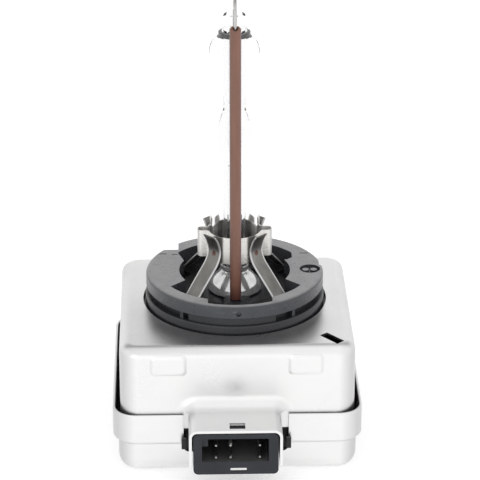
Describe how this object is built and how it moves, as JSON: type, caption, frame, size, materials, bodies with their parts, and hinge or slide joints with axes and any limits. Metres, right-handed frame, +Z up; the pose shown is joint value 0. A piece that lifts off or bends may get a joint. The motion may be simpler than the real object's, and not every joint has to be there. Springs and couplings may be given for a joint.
{
  "type": "xenon headlight bulb",
  "caption": "Xenon discharge headlight bulb: a glass burner on a keyed plastic cap, above a square steel ignitor case with a supply connector at the front.",
  "frame": {"origin": "on the burner's axis, at the flat bottom of the ignitor case", "axes": "+Z up along the burner's axis, -Y out of the connector, +X to the right seen from the connector"},
  "size_m": [0.0454, 0.0517, 0.0851],
  "materials": {
    "case_steel": "satin, tin plated",
    "housing_plastic": "moulded",
    "connector_plastic": "moulded",
    "pin_tin": "tin plated",
    "cap_plastic": "moulded, glass filled",
    "clamp_steel": "bright",
    "spring_steel": "rolled strip",
    "stem_steel": "polished",
    "jacket_quartz": "clear",
    "arc_quartz": "clear",
    "tungsten": "drawn",
    "molybdenum": "rolled foil and drawn wire",
    "salt": "dried salt",
    "return_nickel": "drawn",
    "ceramic_brown": "fired, unglazed",
    "ferrite": "sintered",
    "bobbin_plastic": "moulded",
    "winding_copper": "enamelled wire",
    "board_laminate": "laminate with solder mask",
    "alumina": "fired",
    "contact_tin": "tin plated",
    "capacitor_film": "dipped",
    "resistor_body": "lacquered"
  },
  "bodies": {
    "root": {"bottom_tray": "case_steel", "top_cover": "case_steel", "ignitor_housing": "housing_plastic", "connector_socket": "connector_plastic", "contact_pin_1_upper": "pin_tin", "contact_pin_1_lower": "pin_tin", "contact_pin_2_upper": "pin_tin", "contact_pin_2_lower": "pin_tin", "contact_pin_3_upper": "pin_tin", "contact_pin_3_lower": "pin_tin", "base_ring": "cap_plastic", "clamp_band": "clamp_steel", "spring_leg_front_right": "spring_steel", "spring_leg_back_right": "spring_steel", "spring_leg_back_left": "spring_steel", "spring_leg_front_left": "spring_steel", "spring_ring": "spring_steel", "stem_collar": "stem_steel", "stem_ring": "stem_steel", "outer_jacket": "jacket_quartz", "arc_tube": "arc_quartz", "electrode_lower": "tungsten", "electrode_upper": "tungsten", "foil_lower": "molybdenum", "foil_upper": "molybdenum", "lead_wire_lower": "molybdenum", "lead_wire_upper": "molybdenum", "salt_deposit": "salt", "return_wire": "return_nickel", "ceramic_tube": "ceramic_brown", "transformer_core": "ferrite", "transformer_bobbin": "bobbin_plastic", "secondary_winding_1": "winding_copper", "secondary_winding_2": "winding_copper", "secondary_winding_3": "winding_copper", "secondary_winding_4": "winding_copper", "secondary_winding_5": "winding_copper", "primary_winding": "winding_copper", "circuit_board": "board_laminate", "spark_gap_body": "alumina", "spark_gap_cap_left": "contact_tin", "spark_gap_cap_right": "contact_tin", "hv_contact": "contact_tin", "return_contact": "contact_tin", "charging_capacitor": "capacitor_film", "bleed_resistor": "resistor_body"}
  },
  "joints": []
}
